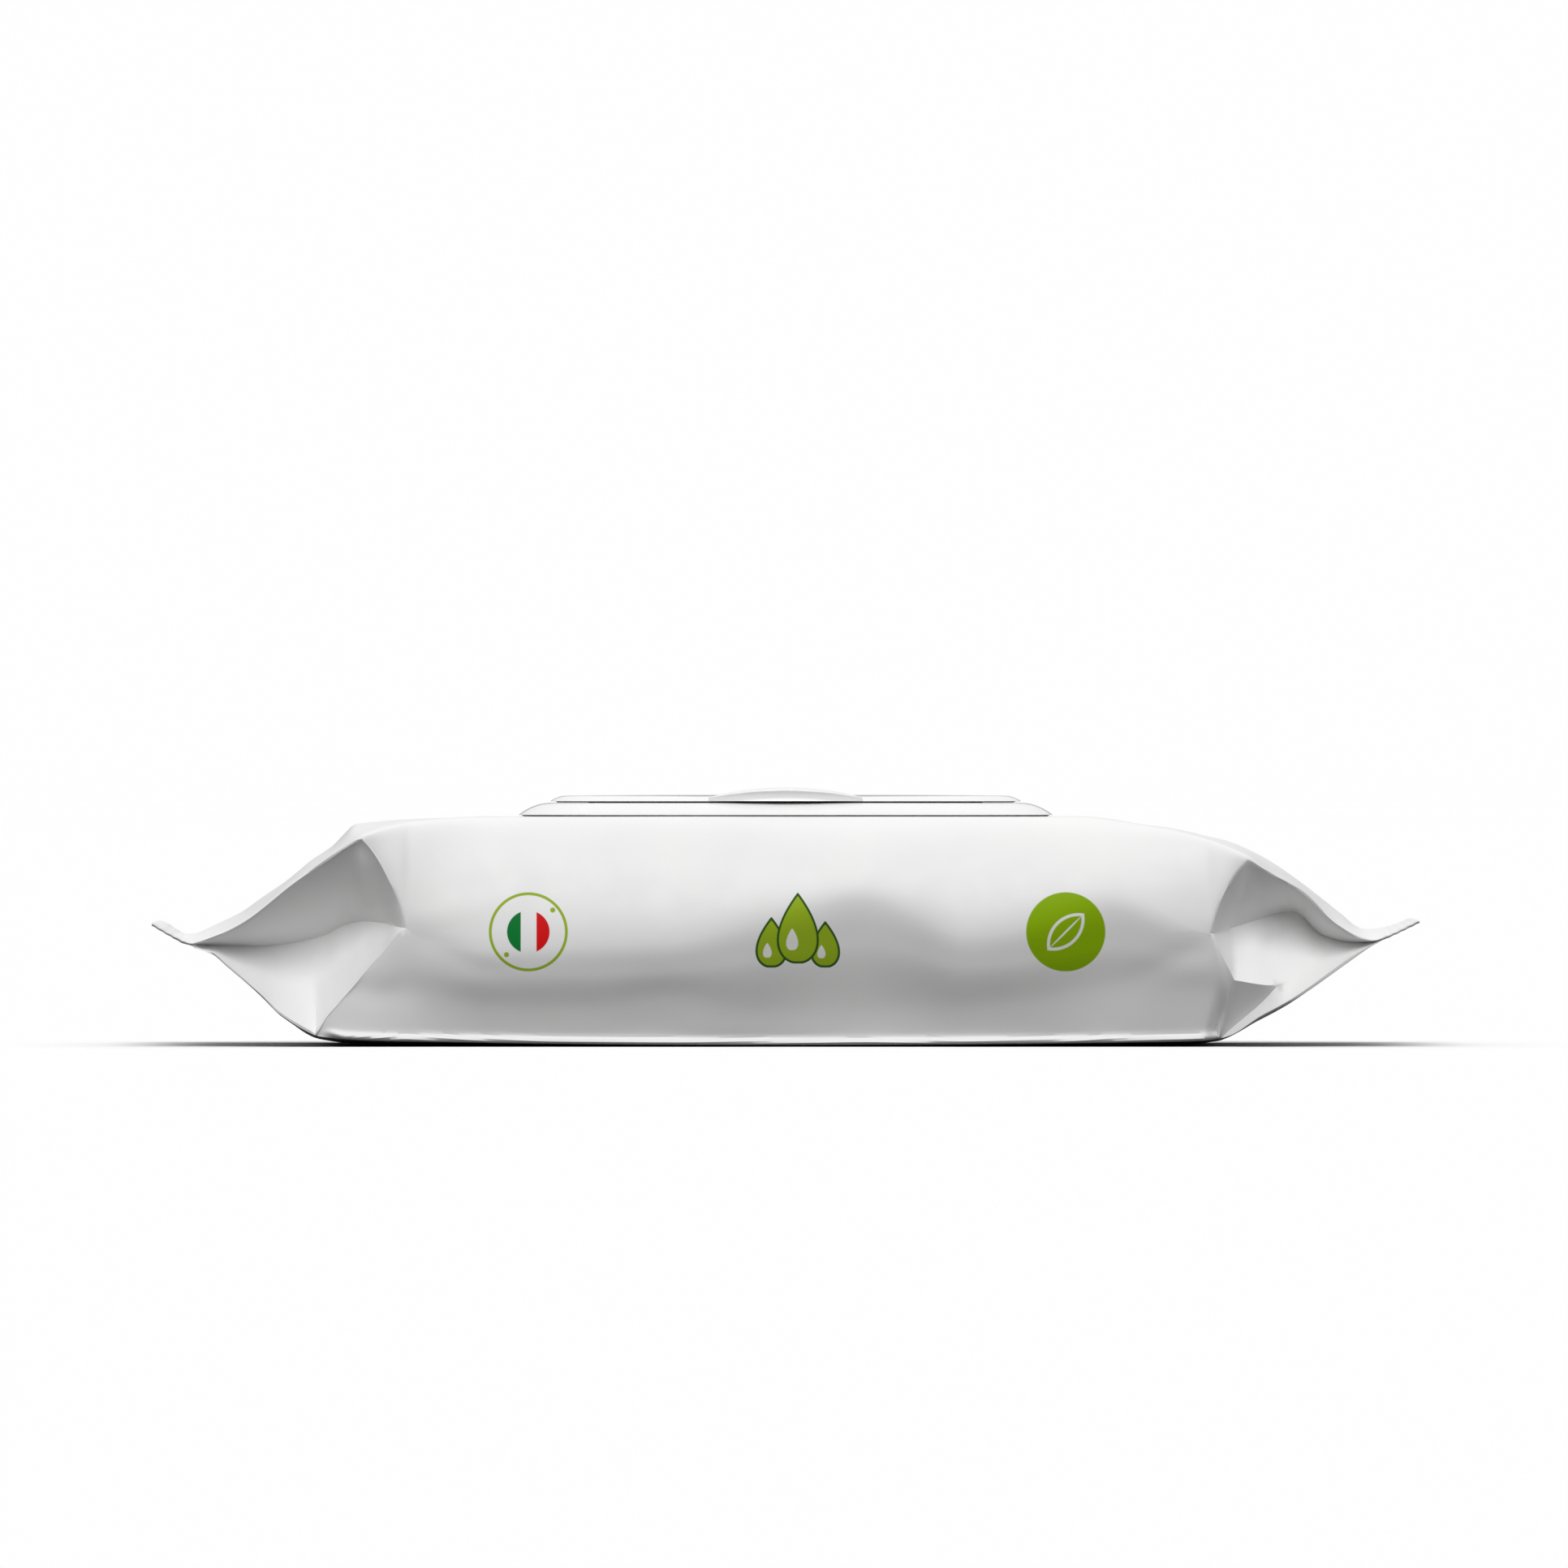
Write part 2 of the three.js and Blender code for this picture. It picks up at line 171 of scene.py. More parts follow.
def soften(piece, width):
    """Rounds a piece's sharp edges."""
    limit = {"limit_method": "ANGLE", "angle_limit": math.radians(sharp_angle)}
    modify(piece, "BEVEL", width=width * MM, segments=3, **limit)


def settle(piece, node, material, crease_angle=sharp_angle):
    """Smooths a finished piece and puts it in the place of its CAD node."""
    piece.data.polygons.foreach_set("use_smooth", [True] * len(piece.data.polygons))
    piece.data.set_sharp_from_angle(angle=math.radians(crease_angle))
    piece.data.materials.clear()
    piece.data.materials.append(material)
    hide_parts(node)


# Film wrap: keys along X, as (x, value)

half_length = film_high[0]
fin_root = 117.2  # where the end seals start
left_tuck, right_tuck = -74.7, 83.4  # corners of the end tucks
left_shoulder, right_shoulder = -83.5, 91.0  # where the top panel folds down to a seal
left_heel, right_heel = -92.8, 88.5  # where the bottom panel folds up to a seal
knee_height = 13.2  # of the right end's lower tuck corner
facet_reach, facet_drop = 8.5, 1.5  # how far the facet under it runs along the gusset, and drops
heel_tuck = 6.5  # how far the right heel's corner is drawn in across the pack
heel_pull = 2.5  # and along it
flat_end, flat_side = 57.0, 39.8  # half size of the level film under the lid
film_top = bond_low[2]
film_bottom = film_low[2] + 0.3  # the lap seam under the pack takes up the rest

top_middle = curve(
    (-half_length, 24.7), (-124, 24.5), (-119.4, 22), (-fin_root, 22.2), (-115, 23.1), (-108, 26.5),
    (-103.6, 29.7), (-99, 32.8), (-94.6, 36.5), (-90, 39.6), (-87.8, 41.8), (-85.5, 43.8),
    (-flat_end, film_top), (flat_end, film_top), (63.3, 44.7), (86, 40.8), (93.5, 37.7), (110.7, 25.7),
    (113, 23.8), (115.2, 22.95), (117.5, 23.1), (half_length, 25.1),
)
top_edge = curve(
    (-half_length, 24.4), (-120.6, 21.85), (-fin_root, 20.5), (-116.2, 20.9), (-115, 21.2), (-107.7, 24.4),
    (-96.7, 32.8), (-86.4, 39.8), (-84.2, 41.1), (-75, 43.9), (-flat_end, film_top), (flat_end, film_top),
    (75, 42.9), (right_shoulder, 37.4), (96.4, 34), (101.7, 30.9), (109, 24.3), (114, 21.6), (116.3, 21.25),
    (118.7, 21.95), (half_length, 24.95),
)
bottom_edge = curve(
    (-half_length, 23.9), (-120.6, 21.35), (-118.7, 20.35), (-fin_root, 19.95), (-116.2, 19.4), (-115, 18.9),
    (-113, 18.4), (-110.6, 16.4), (-104, 10.7), (-99.6, 6.5), (-93.5, 2.75), (-92, 2.05), (-75, 1.1),
    (0, film_bottom), (75, 1), (right_heel, 1.6), (90, 2.1), (94.5, 6), (100.6, 9.7), (fin_root, 20.8),
    (118.7, 21.45), (half_length, 24.45),
)
bottom_middle = curve(
    (-half_length, 24.2), (-119.4, 21.5), (-fin_root, 20.9), (-115, 19.2), (-104, 9.7), (-99.6, 5.3),
    (left_heel, 1.3), (-84, film_bottom), (80, film_bottom), (right_heel, 0.9), (94.5, 5), (100.6, 8.8),
    (113, 18), (fin_root, 21.9), (119.8, 23.1), (half_length, 24.6),
)
side_half = curve(
    (-half_length, 51.5), (left_shoulder, 51.5), (left_tuck, 53), (-50, 55.4), (-10, 56.5), (40, 56.3),
    (70, 55.2), (right_tuck, 53.2), (right_shoulder, 51.5), (half_length, 51.5),
)
top_half = curve(
    (-half_length, 51.15), (left_shoulder, 51.15), (-75, 47.5), (-flat_end, flat_side), (flat_end, flat_side),
    (75, 44.5), (84, 48), (right_shoulder, 51.1), (half_length, 51.15),
)
base_half = curve(
    (-half_length, 50.4), (-118, 50.4), (-112, 51.15), (left_heel, 51), (-75, 49), (-55, 48.4), (55, 48.4),
    (75, 48.2), (84, 47.6), (right_heel, 44.6), (91.5, 47), (96, 50.6), (112, 51.15), (118, 50.4),
    (half_length, 50.4),
)
upper_crease = curve(
    (left_shoulder, 40.8), (-82.4, 39.5), (-80.5, 36.8), (-78.4, 33), (-76.5, 29.3), (-75.2, 25.8),
    (left_tuck, 23.5), (right_tuck, 22.4), (83.7, 23.4), (84.7, 26.4), (86.3, 30.1), (88.8, 34.4),
    (right_shoulder, 36.9),
)
lower_crease = curve(
    (left_heel, 2.45), (-90.9, 5.6), (-88.6, 8.3), (-85.8, 11.7), (-82.1, 15.7), (-79.7, 18.2),
    (left_tuck, 23.3), (right_tuck, 22.2), (86.5, 17), (right_heel, knee_height),
)
inner_height = curve(
    (-half_length, 24.15), (-120.6, 21.6), (-fin_root, 20.2), (-104, 19.8), (-91.5, 21.8), (-87.2, 23.9),
    (-83.4, 24.7), (-79, 24.3), (left_tuck, 23.4), (right_tuck, 22.3), (88, 23.4), (100.2, 26.6),
    (106, 21.9), (112.3, 20.6), (116.3, 20.75), (fin_root, 21.05), (half_length, 24.7),
)
inner_depth = curve(
    (-fin_root, 0), (-115.7, 3.5), (-113, 6.5), (-108, 11), (-100, 15.5), (-94, 17), (-87, 16.5), (-83.4, 14),
    (-79, 8), (left_tuck, 0), (right_tuck, 0), (86, 5), (88, 8), (94, 12), (99, 13.5), (104, 12), (109, 9),
    (113, 6), (115.8, 3.5), (fin_root, 0),
)
# Height of the widest line of each side, and of the roll under it
front_ridge = curve(
    (left_tuck, 23.4), (-68, 20.5), (-60, 19), (-50, 19.5), (-22, 20.5), (-7, 24), (5, 27), (14.7, 29),
    (25, 26), (35.5, 22), (50, 24), (64, 27.5), (76, 24), (right_tuck, 22.3),
)
back_ridge = curve((left_tuck, 23.4), (-40, 26.5), (0, 20), (30, 25.5), (60, 21), (right_tuck, 22.3))
front_roll = curve(
    (left_tuck, 10.8), (-60, 8), (-40, 7.5), (-23, 10), (-8, 6.5), (5, 6.5), (40, 8), (69, 11.5),
    (right_tuck, 10.5),
)
back_roll = curve((left_tuck, 10.8), (-30, 6.5), (20, 10), (60, 7), (right_tuck, 10.5))

# Creases of the front half, which the back half mirrors: start, end, width, how far it stands out
film_creases = [
    ((-83.5, -50, 41.6), (-58, -36, 45.2), 2.2, 0.35),
    ((-84, -46, 42.2), (-62, -22, 45), 3, 0.3),
    ((91, -50, 37.4), (60, -34, 45), 2.4, 0.4),
    ((92, -44, 38), (66, -18, 44.5), 3.2, 0.3),
    ((-75, -53, 24), (-52, -55.5, 31), 3, 0.25),
    ((-75, -53, 23), (-54, -54.5, 13), 2.4, -0.3),
    ((83.6, -53, 22.5), (62, -55.5, 30), 3, 0.25),
    ((84, -53, 21), (64, -54, 11), 2.6, -0.35),
    ((-84, -52, 11), (-70, -53.5, 9.5), 3, -0.5),
]
# The same within the tucks
gusset_creases = [
    ((-83.6, -50, 39.5), (-83, -41, 28), 1.9, 2.4),
    ((91.2, -50, 36.6), (88.6, -44, 26), 1.3, 1.2),
    ((-92.3, -37.5, 18), (-93.5, -43.1, 11.7), 1, 0.5),
    ((-92.3, -43.4, 11.4), (-79.5, -50.5, 19), 1.6, 0.5),
    ((96.3, -41, 22.4), (93, -47, 12), 2.0, -1.0),
]

# Points in each stretch of half a section, from the top's middle to the base
top_steps, roll_steps, tuck_steps, lower_steps = 16, 14, 12, 24
knee_steps = 8  # of the tuck's, down to the knee
fine_steps = 60  # of a curve that is then resampled
lower_shares = 1 - (1 - np.linspace(0, 1, lower_steps + 1)[1:]) ** 1.5  # closest at the base
lap = 0.25  # how far the lap seam stands out
seam_shares = (0.12, 0.37)  # its edges under the back half, as shares of the base
base_shares = np.array([1, 0.85, 0.7, 0.55, 0.42, 0.375, 0.37, 0.3, 0.2, 0.12, 0.115, 0.06, 0])


def shoulder_curve(flat, edge, side, stand):
    """From a panel's edge that lies flat round to a side that stands upright, in (half width, height)."""
    pull = 0.42
    over = (flat + pull * (side - flat), edge)
    beside = (side, stand + pull * (edge - stand))
    return [(flat, edge), over, beside, (side, stand)]


def underside_curve(side, stand, roll, base, bottom):
    """From the widest line of the side down to the flat base."""
    toe = (base + 0.4 * (side - base), min(bottom + 0.8, roll))
    return [(side, stand), (side - 0.3, roll), toe, (base, bottom)]


def pinched_side(side, stand, roll, base, bottom):
    """From the widest line down a leaning facet, then a steeper one, to the pinched edge of the base."""
    neck, bead = 0.7, 1.55  # how far the film is out past the base, at the pinch and under it
    pinch, bead_height = bottom + 1.7, bottom + 0.65
    steep = 0.75  # the lower facet's lean, against the upper one's
    foot, drop = base + neck, stand - pinch
    brow = stand - 0.3 * drop
    break_height = min(max(roll, pinch + 0.12 * drop), pinch + 0.45 * drop)
    slope = (side - foot) / ((stand - brow) / 2 + brow - break_height + steep * (break_height - pinch))
    lean = curve(
        (pinch, foot), (break_height, foot + steep * slope * (break_height - pinch)),
        (brow, side - slope * (stand - brow) / 2), (stand, side), (stand + 3, side),
    )
    heights = np.linspace(stand, pinch, fine_steps)
    facets = np.stack([lean(heights), heights], axis=1)
    widest = (base + bead, bead_height)
    out = bezier([(foot, pinch), (foot - 0.15, bottom + 1.2), (base + bead, bottom + 1.05), widest], 12)
    under = bezier([widest, (base + bead, bottom + 0.2), (base + 1, bottom), (base, bottom)], 12)
    return np.concatenate([facets, out[1:], under[1:]])


def lower_side(side, stand, roll, base, bottom):
    """The film below the widest line of the side, which is pinched along the base where it is high enough."""
    even = np.linspace(0, 1, 2 * fine_steps + 1)
    plain_roll = 0.4 * stand + 0.6 * bottom
    plain = resample(bezier(underside_curve(side, stand, plain_roll, base, bottom), fine_steps), even)
    pinched = smooth_step(stand - bottom, 2.4, 9)
    if pinched == 0:
        return plain
    return plain * (1 - pinched) + resample(pinched_side(side, stand, roll, base, bottom), even) * pinched


def body_side(x, stand, roll, base):
    """The film's side between the tucks, down from the top panel's edge."""
    side = side_half(x)
    upper = bezier(shoulder_curve(top_half(x), top_edge(x), side, stand), fine_steps)
    lower = lower_side(side, stand, roll, base, bottom_edge(x))
    spread = 0.4 * smooth_step(min(x - left_tuck, right_tuck - x), 0, 30)
    rolled = np.linspace(0, 1 - spread, roll_steps + 1)[1:]
    to_ridge = np.linspace(1 - spread, 1, tuck_steps + 1)[1:]
    from_ridge = np.linspace(0, spread, tuck_steps + 1)[1:]
    return [
        resample(upper, np.concatenate([rolled, to_ridge])),
        resample(lower, np.concatenate([from_ridge, spread + (1 - spread) * lower_shares])),
    ]


def knee_before_heel(x, lower, ground, below):
    """The right tuck's lower corner, the wall under it, and what is left of the film below."""
    split = smooth_step(x, right_tuck, right_heel)
    wall_foot = lower + (ground - lower) * split
    reached = np.argmax(below[:, 1] <= wall_foot) if split > 0 else 0
    down = np.linspace(0, 1, tuck_steps - knee_steps + 1)[1:] * (split > 0)
    return below[0], resample(below[:max(reached, 1) + 1], down), below[reached:]


def knee_past_heel(x, side, crease, below):
    """The corner and the wall past the heel, where a facet narrows along the gusset and then fades."""
    along = (x - right_heel) / facet_reach
    facet = np.clip(along, 0, 1)
    relaxed = smooth_step(along, 0.5, 2)
    knee_share = knee_steps / tuck_steps
    straight = crease * (1 - knee_share) + below[0] * knee_share
    knee = np.array((side, knee_height - facet_drop * facet)) * (1 - relaxed) + straight * relaxed
    corner = np.array((side - heel_tuck, bottom_edge(right_heel)))
    slide = np.clip(along - 1, 0.06, 1) / 2  # keeps the valley's points clear of the knee's
    end = knee * (1 - slide) + below[0] * slide
    valley = np.maximum(corner * (1 - facet) + end * facet, (0, below[0][1]))
    half = np.linspace(0, 1, (tuck_steps - knee_steps) // 2 + 1)[1:, None]
    return knee, np.concatenate([knee * (1 - half) + valley * half, valley * (1 - half) + below[0] * half])


def tuck_side(x, base):
    """The film's side at an end: a roll, the tuck's two layers and the film below them."""
    top, bottom, side = top_edge(x), bottom_edge(x), side_half(x)
    lip = min(0.35, (top - bottom) / 4)
    ground = bottom + lip / 3
    upper = upper_crease(x) if left_shoulder < x < right_shoulder else top - lip
    lower = lower_crease(x) if left_heel < x < right_heel else ground
    # the seals' edges lean in below and are a little bowed
    lean = 0.9 * smooth_step(abs(x), fin_root - 1, fin_root + 0.5)
    share = np.linspace(0, 1, tuck_steps + 1)[1:, None]
    bow = np.concatenate([0.1 * lean * share * (1 - share), np.zeros_like(share)], axis=1)
    crease = np.array((side - inner_depth(x) - lean / 2, min(max(inner_height(x), lower), upper)))
    rounded = bezier(shoulder_curve(top_half(x), top, side, upper), roll_steps)
    inward = rounded[-1] * (1 - share) + crease * share + bow
    drawn_in = heel_tuck * max(1 - (x - right_heel) / facet_reach, 0) ** 2 if x >= right_heel else 0
    below = lower_side(side - lean - drawn_in, lower, 0.45 * lower + 0.55 * bottom, base, bottom)
    if x < 0:
        outward = crease * (1 - share) + below[0] * share
    else:
        if x < right_heel:
            knee, wall, below = knee_before_heel(x, lower, ground, below)
        else:
            knee, wall = knee_past_heel(x, side, crease, below)
        share = np.linspace(0, 1, knee_steps + 1)[1:, None]
        outward = np.concatenate([crease * (1 - share) + knee * share, wall])
    return [rounded[1:], inward, outward + bow, resample(below, lower_shares)]


def half_section(x, ridge, roll, seam):
    """Half a section of the film at x in (half width, height), from the top's middle to the base's."""
    top, bottom, base = top_edge(x), bottom_edge(x), base_half(x)
    if left_tuck < x < right_tuck:
        base = max(base, side_half(x) - 0.7 - 0.325 * (ridge(x) - 2))  # the side leans no further in
        side = body_side(x, ridge(x), roll(x), base)
    else:
        side = tuck_side(x, base)
    across = np.linspace(0, 1, top_steps + 1)
    over = np.stack([top_half(x) * across, top + (top_middle(x) - top) * (1 - across ** 2)], axis=1)
    lapped = seam * lap * ((base_shares >= seam_shares[0]) & (base_shares <= seam_shares[1]))
    heights = bottom + (bottom_middle(x) - bottom) * (1 - base_shares ** 2) - lapped
    under = np.stack([base * base_shares, heights], axis=1)
    return np.concatenate([over, *side, under[1:]])


def stations():
    """Places along X, closest where the film folds."""
    seal_step, fold_step = 0.26, 0.5
    neck, facet_end = 115.4, right_heel + 8
    spans = [
        (-half_length, -fin_root, seal_step), (-fin_root, -neck, 0.3), (-neck, left_heel, 0.9),
        (left_heel, left_shoulder, 0.7), (left_shoulder, left_tuck, fold_step), (left_tuck, -flat_end, 1.1),
        (-flat_end, flat_end, 2.3), (flat_end, right_tuck, 1.2), (right_tuck, right_heel, fold_step),
        (right_heel, facet_end, 0.6), (facet_end, neck, 0.9), (neck, fin_root, 0.3),
        (fin_root, half_length, seal_step),
    ]
    places = [np.linspace(a, b, max(1, round((b - a) / step)), endpoint=False) for a, b, step in spans]
    return np.concatenate(places + [[half_length]])


def film_rows():
    """The film's sections as a grid of points, without ribs, waves and creases."""
    rows = []
    for x in stations():
        front = half_section(x, front_ridge, front_roll, 0)
        back = half_section(x, back_ridge, back_roll, 1)[1:-1][::-1]
        y = np.concatenate([-front[:, 0], back[:, 0]])
        z = np.concatenate([front[:, 1], back[:, 1]])
        rows.append(np.stack([np.full(len(y), x), y, z], axis=1))
    return np.array(rows)


def outward_normals(grid):
    along = np.gradient(grid, axis=0)
    around = np.roll(grid, -1, axis=1) - np.roll(grid, 1, axis=1)
    normal = np.cross(around, along)
    normal = normal / np.maximum(np.linalg.norm(normal, axis=-1, keepdims=True), 1e-9)
    middle = np.array([0, 0, 22.0])
    return normal * np.sign((normal * (grid - middle)).sum(axis=-1).mean())


def slack_waves(grid):
    """How far slack film stands out: a sum of soft waves in directions left to chance."""
    waves, shortest, longest, height = 14, 14, 46, 0.07
    chance = np.random.default_rng(7)
    slack = np.zeros(grid.shape[:2])
    for _ in range(waves):
        reach = chance.uniform(shortest, longest)
        way = chance.normal(size=3)
        way /= np.linalg.norm(way)
        phase = chance.uniform(0, 2 * math.pi)
        slack += np.sin(2 * math.pi * (grid @ way) / reach + phase) * reach / longest
    return slack * height


def ridge_line(points, start, end, width, height):
    """A soft crease between two points: how far the film stands out along it."""
    start, end = np.array(start, dtype=float), np.array(end, dtype=float)
    along = np.clip((points - start) @ (end - start) / ((end - start) @ (end - start)), 0, 1)
    apart = np.linalg.norm(points - start - along[..., None] * (end - start), axis=-1)
    return height * np.exp(-(apart / width) ** 2) * (1 - along ** 2)


def crease_lines(grid):
    """How far the film stands out along the creases of both halves."""
    within = np.zeros(grid.shape[1])  # fades out at the tucks' edges
    first = top_steps + roll_steps + 1
    within[first:first + 2 * tuck_steps] = np.sin(np.linspace(0, math.pi, 2 * tuck_steps)) ** 0.5
    within = np.maximum(within, np.roll(within[::-1], 1))
    move = np.zeros(grid.shape[:2])
    for side in (-1, 1):
        turn = np.array([1, -side, 1])
        for creases, where in ((film_creases, 1), (gusset_creases, within)):
            for start, end, width, height in creases:
                move += ridge_line(grid, start * turn, end * turn, width, height) * where
    return move


def film_grid():
    grid = film_rows()
    x, y, z = (grid[..., k] for k in range(3))
    # slack and creases, none under the lid, on the floor or on the seals
    level = smooth_step(np.maximum(np.abs(x) - flat_end, np.abs(y) - flat_side), -1, 5)
    held = np.where(z > 30, level, 1) * smooth_step(z, 0.4, 4) * smooth_step(fin_root - np.abs(x), 0, 6)
    move = (slack_waves(grid) + crease_lines(grid)) * held
    # the right heel is drawn in under the pack
    drawn = heel_pull * smooth_step(z, 14, 1) * np.exp(-((x - right_heel) / 6) ** 2)
    # crimp ribs on the end seals
    rib_start, rib_pitch, rib_height = 0.8, 1.5, 0.05
    past = np.abs(x) - fin_root - rib_start
    ribs = rib_height * np.sin(2 * math.pi * past / rib_pitch) * smooth_step(past, 0, 0.6)
    shaped = grid + outward_normals(grid) * move[..., None]
    shaped[..., 0] -= drawn
    shaped[..., 2] += ribs
    return shaped


opening_length, opening_width, opening_corner = 73.5, 38.0, 12.0  # of the lid frame
film_lip = 4.0  # film left showing inside it
film_wall = 0.15


def rounded_outline(length, width, corner, z, steps=14):
    """A rectangle with rounded corners, level at z."""
    points = []
    for right, rear, start in ((1, 1, 0), (-1, 1, 90), (-1, -1, 180), (1, -1, 270)):
        for k in range(steps + 1):
            turn = math.radians(start + 90 * k / steps)
            points.append((
                right * (length / 2 - corner) + corner * math.cos(turn),
                rear * (width / 2 - corner) + corner * math.sin(turn),
                z,
            ))
    return np.array(points)


def build_film(material):
    piece = make_mesh("film_wrap", list(film_grid()))
    modify(piece, "SOLIDIFY", thickness=film_wall * MM, offset=-1)
    size = (opening_length - 2 * film_lip, opening_width - 2 * film_lip, opening_corner - film_lip)
    reach = 3.0  # of the cutter, above and below the film
    ends = [rounded_outline(*size, film_top - reach), rounded_outline(*size, film_top + reach)]
    combine(piece, make_mesh("cutter", ends), "DIFFERENCE")
    settle(piece, "film_wrapper", material, crease_angle=50)
    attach(piece, "pack")


# Wipes

def build_wipes(material):
    """The stack, with folds down its sides and the edge of the next sheet along its top."""
    layers, points_per_layer, slices = 30, 4, 90
    rounding = 2.0
    fold_mean, fold_swing, fold_sway = 0.6, 0.5, 0.16
    low, high = stack_low[2], stack_high[2]
    length = stack_high[0] - stack_low[0]
    rise = np.linspace(0, 1, points_per_layer * layers)
    chance = np.random.default_rng(3)
    depth = chance.uniform(0.1, 0.7, layers)
    layer = np.minimum((rise * layers).astype(int), layers - 1)
    fold = np.abs(np.sin(math.pi * rise * layers)) ** 0.5
    past = (np.abs(rise - 0.5) * (high - low) - (high - low) / 2 + rounding) / rounding
    corner = np.sqrt(np.clip(1 - np.clip(past, 0, 1) ** 2, 0, 1))
    folded = stack_high[1] - rounding * (1 - corner) - fold_mean
    folded += fold_swing * fold - depth[layer] * fold ** 2
    across = np.linspace(-1, 1, 71)
    rings = []
    for share in np.linspace(0, 1, slices):
        x = stack_low[0] + share * length
        end = min(share, 1 - share) * length
        pull = rounding * (1 - math.sqrt(1 - (1 - min(end / rounding, 1)) ** 2))
        side = folded - pull + fold_sway * np.sin(x / 17 + layer * 1.7)
        heights = low + pull + rise * (high - low - 2 * pull)
        y = across * side[-1]
        bend = 1.5 * math.sin(x / 23)
        ripple = 0.16 * np.sin(x / 9 + y / 6) + 0.12 * np.sin(x / 5.3 - y / 11 + 1) - 0.3
        lifted = 0.9 * np.exp(-((y - 2.5 - bend) / 1.6) ** 2)
        step = 0.5 * smooth_step(y, 1.5 + bend, 3.2 + bend)
        inside = smooth_step(1 - np.abs(across), 0, 0.1) * smooth_step(end, 0, 6)
        upper = heights[-1] + (ripple + lifted - step) * inside
        right = np.stack([side, heights], axis=1)
        top = np.stack([y[::-1], upper[::-1]], axis=1)[1:-1]
        left = np.stack([-side, heights], axis=1)[::-1]
        flat = np.stack([across * side[0], np.full(len(across), heights[0])], axis=1)[1:-1]
        rings.append(slice_at(x, np.concatenate([right, top, left, flat])))
    piece = make_mesh("wipes", rings)
    settle(piece, "wipes_stack", material, crease_angle=60)
    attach(piece, "pack")


# Lid moulding and its bond

frame_length, frame_width = frame_high[0] - frame_low[0], frame_high[1] - frame_low[1]
frame_corner, slope_run, ledge = 20.0, 6.25, 3.0
deck_thickness, rim_wall, rim_drop = 1.0, 1.0, 0.2
frame_bottom, frame_top = frame_low[2], frame_high[2]
deck = frame_bottom + deck_thickness
lid_length, lid_width = frame_length - 2 * slope_run, frame_width - 2 * slope_run
lid_corner = frame_corner - slope_run
parting_gap, lid_thickness, lid_edge_run = 0.3, 1.1, 3.2
lid_bottom = frame_top + parting_gap
lid_top = lid_bottom + lid_thickness
plug_gap, plug_wall = 0.4, 1.0
frame_rounding, lid_rounding = 0.25, 0.22
# Ridges under the frame and the lid that close the gaps below them: how far down, and (inset, share of it)
foot_drop, foot_shape = 0.24, ((2.2, 0), (1.75, 1), (1.05, 1), (0.6, 0))
skirt_drop, skirt_shape = 0.22, ((2.9, 0), (2.45, 1), (1.55, 1), (1.1, 0))
crown_rise, crown_reach, crown_insets = 0.15, 28, (8, 14, 20, 24, 27)
lip_length, lip_root, lip_hollow = 30.4, 8.0, 0.5
crest_run, crest_drop = 2.2, 0.6
bond_bead, bond_inset, bond_edge = 7.0, 2.5, 0.2
web_wall, web_room = 0.35, 0.6
groove_depth, groove_reach, groove_corner = 0.9, 1.5, 0.5
lip_rise = lid_high[2] - lid_top
lip_reach = -lid_width / 2 - lid_low[1]


def inset_outline(size, inset, z):
    """A rounded outline, set in from one whose length, width and corner are given."""
    length, width, corner = size
    return rounded_outline(length - 2 * inset, width - 2 * inset, corner - inset, z)


def edge_rings(size, run, bottom, rise, steps=10):
    """Outlines up a rounded plate's edge, which starts as a slope and levels out."""
    shares = np.linspace(0, 1, steps + 1)
    return [inset_outline(size, run * t, bottom + rise * (1 - (1 - t) ** 2)) for t in shares]


def build_bond(material):
    size = (bond_high[0] - bond_low[0], bond_high[1] - bond_low[1], frame_corner - bond_inset)
    low, high = bond_low[2], bond_high[2]
    middle = (low + high) / 2
    inner = bond_bead - bond_edge
    rings = []
    for inset, z in (
        (bond_edge, low), (0, middle), (bond_edge, high), (inner, high), (bond_bead, middle), (inner, low),
    ):
        rings.append(inset_outline(size, inset, z))
    piece = make_mesh("hot_melt_bond", rings, around=True)
    settle(piece, "adhesive_ring", material)
    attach(piece, "pack")


def build_frame(material):
    size = (frame_length, frame_width, frame_corner)
    rings = edge_rings(size, slope_run, frame_bottom, frame_top - frame_bottom)
    recess = (lid_length - 2 * ledge, lid_width - 2 * ledge, lid_corner - ledge)
    opening = (opening_length, opening_width, opening_corner)
    rim = (opening_length + 2 * rim_wall, opening_width + 2 * rim_wall, opening_corner + rim_wall)
    for outline, z in (
        (recess, frame_top), (recess, deck), (rim, deck), (rim, frame_top - rim_drop),
        (opening, frame_top - rim_drop), (opening, frame_bottom),
    ):
        rings.append(rounded_outline(*outline, z))
    for inset, share in foot_shape:
        rings.append(inset_outline(size, inset, frame_bottom - share * foot_drop))
    piece = make_mesh("lid_frame_moulding", rings, around=True)
    soften(piece, frame_rounding)
    # the groove that the living hinge stands in
    groove = (web_high[0] - web_low[0] + 2 * web_room, groove_reach + web_room, groove_corner)
    shift = np.array([0, (lid_width + groove_reach - web_room) / 2, 0])
    outlines = [rounded_outline(*groove, z) + shift for z in (frame_top - groove_depth, frame_top + 1)]
    combine(piece, make_mesh("cutter", outlines), "DIFFERENCE")
    settle(piece, "lid_frame", material)
    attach(piece, "pack")


